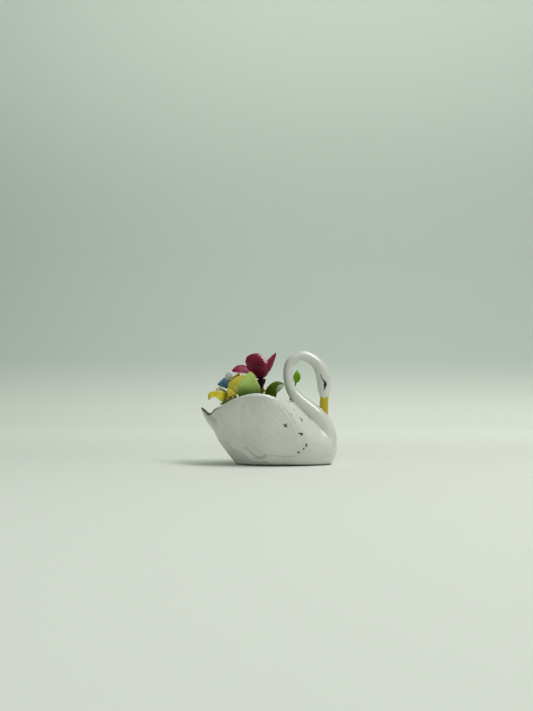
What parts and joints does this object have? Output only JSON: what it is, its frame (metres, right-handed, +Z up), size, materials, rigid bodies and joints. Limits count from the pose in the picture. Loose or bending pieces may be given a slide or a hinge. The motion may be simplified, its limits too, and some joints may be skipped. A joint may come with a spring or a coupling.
{
  "type": "swan posy figurine",
  "caption": "Glazed china swan standing on a flat base, with a looped neck, feathered wings and hand-made flowers and leaves set in its open back.",
  "frame": {"origin": "middle of the flat base, on the plane that the swan stands on", "axes": "+X the way the swan faces, +Y its left side, +Z up"},
  "size_m": [0.0757, 0.0434, 0.0634],
  "materials": {
    "glaze": "gloss white glaze with a yellow painted bill, a black eye and worn gilt",
    "clay": "soft green wash under glaze",
    "magenta": "gloss painted petal",
    "purple": "gloss painted calyx",
    "yellow": "gloss painted petal",
    "ochre": "gloss painted flower centre",
    "blue": "gloss painted petal",
    "pale": "gloss pale petal",
    "pink": "gloss painted petal",
    "light_green": "satin painted leaf",
    "dark_green": "gloss painted leaf",
    "lime": "gloss painted leaf",
    "stem_green": "gloss painted stem"
  },
  "bodies": {
    "root": {"swan_body": "glaze", "posy_bed": "clay", "magenta_stem": "stem_green", "magenta_calyx": "purple", "magenta_centre": "ochre", "magenta_petal_1": "magenta", "magenta_petal_2": "magenta", "magenta_petal_3": "magenta", "magenta_petal_4": "magenta", "magenta_petal_5": "magenta", "yellow_centre": "ochre", "yellow_petal_1": "yellow", "yellow_petal_2": "yellow", "yellow_petal_3": "yellow", "yellow_petal_4": "yellow", "yellow_petal_5": "yellow", "blue_centre": "ochre", "blue_petal_1": "blue", "blue_petal_2": "blue", "blue_petal_3": "blue", "blue_petal_4": "blue", "blue_petal_5": "blue", "pale_centre": "ochre", "pale_petal_1": "pale", "pale_petal_2": "pale", "pale_petal_3": "pale", "pale_petal_4": "pale", "pink_centre": "ochre", "pink_petal_1": "pink", "pink_petal_2": "pink", "pink_petal_3": "pink", "pink_petal_4": "pink", "pink_petal_5": "pink", "light_leaf": "light_green", "dark_leaf": "dark_green", "lime_leaf": "lime", "rim_leaf": "dark_green", "far_leaf_1": "light_green", "far_leaf_2": "lime"}
  },
  "joints": []
}
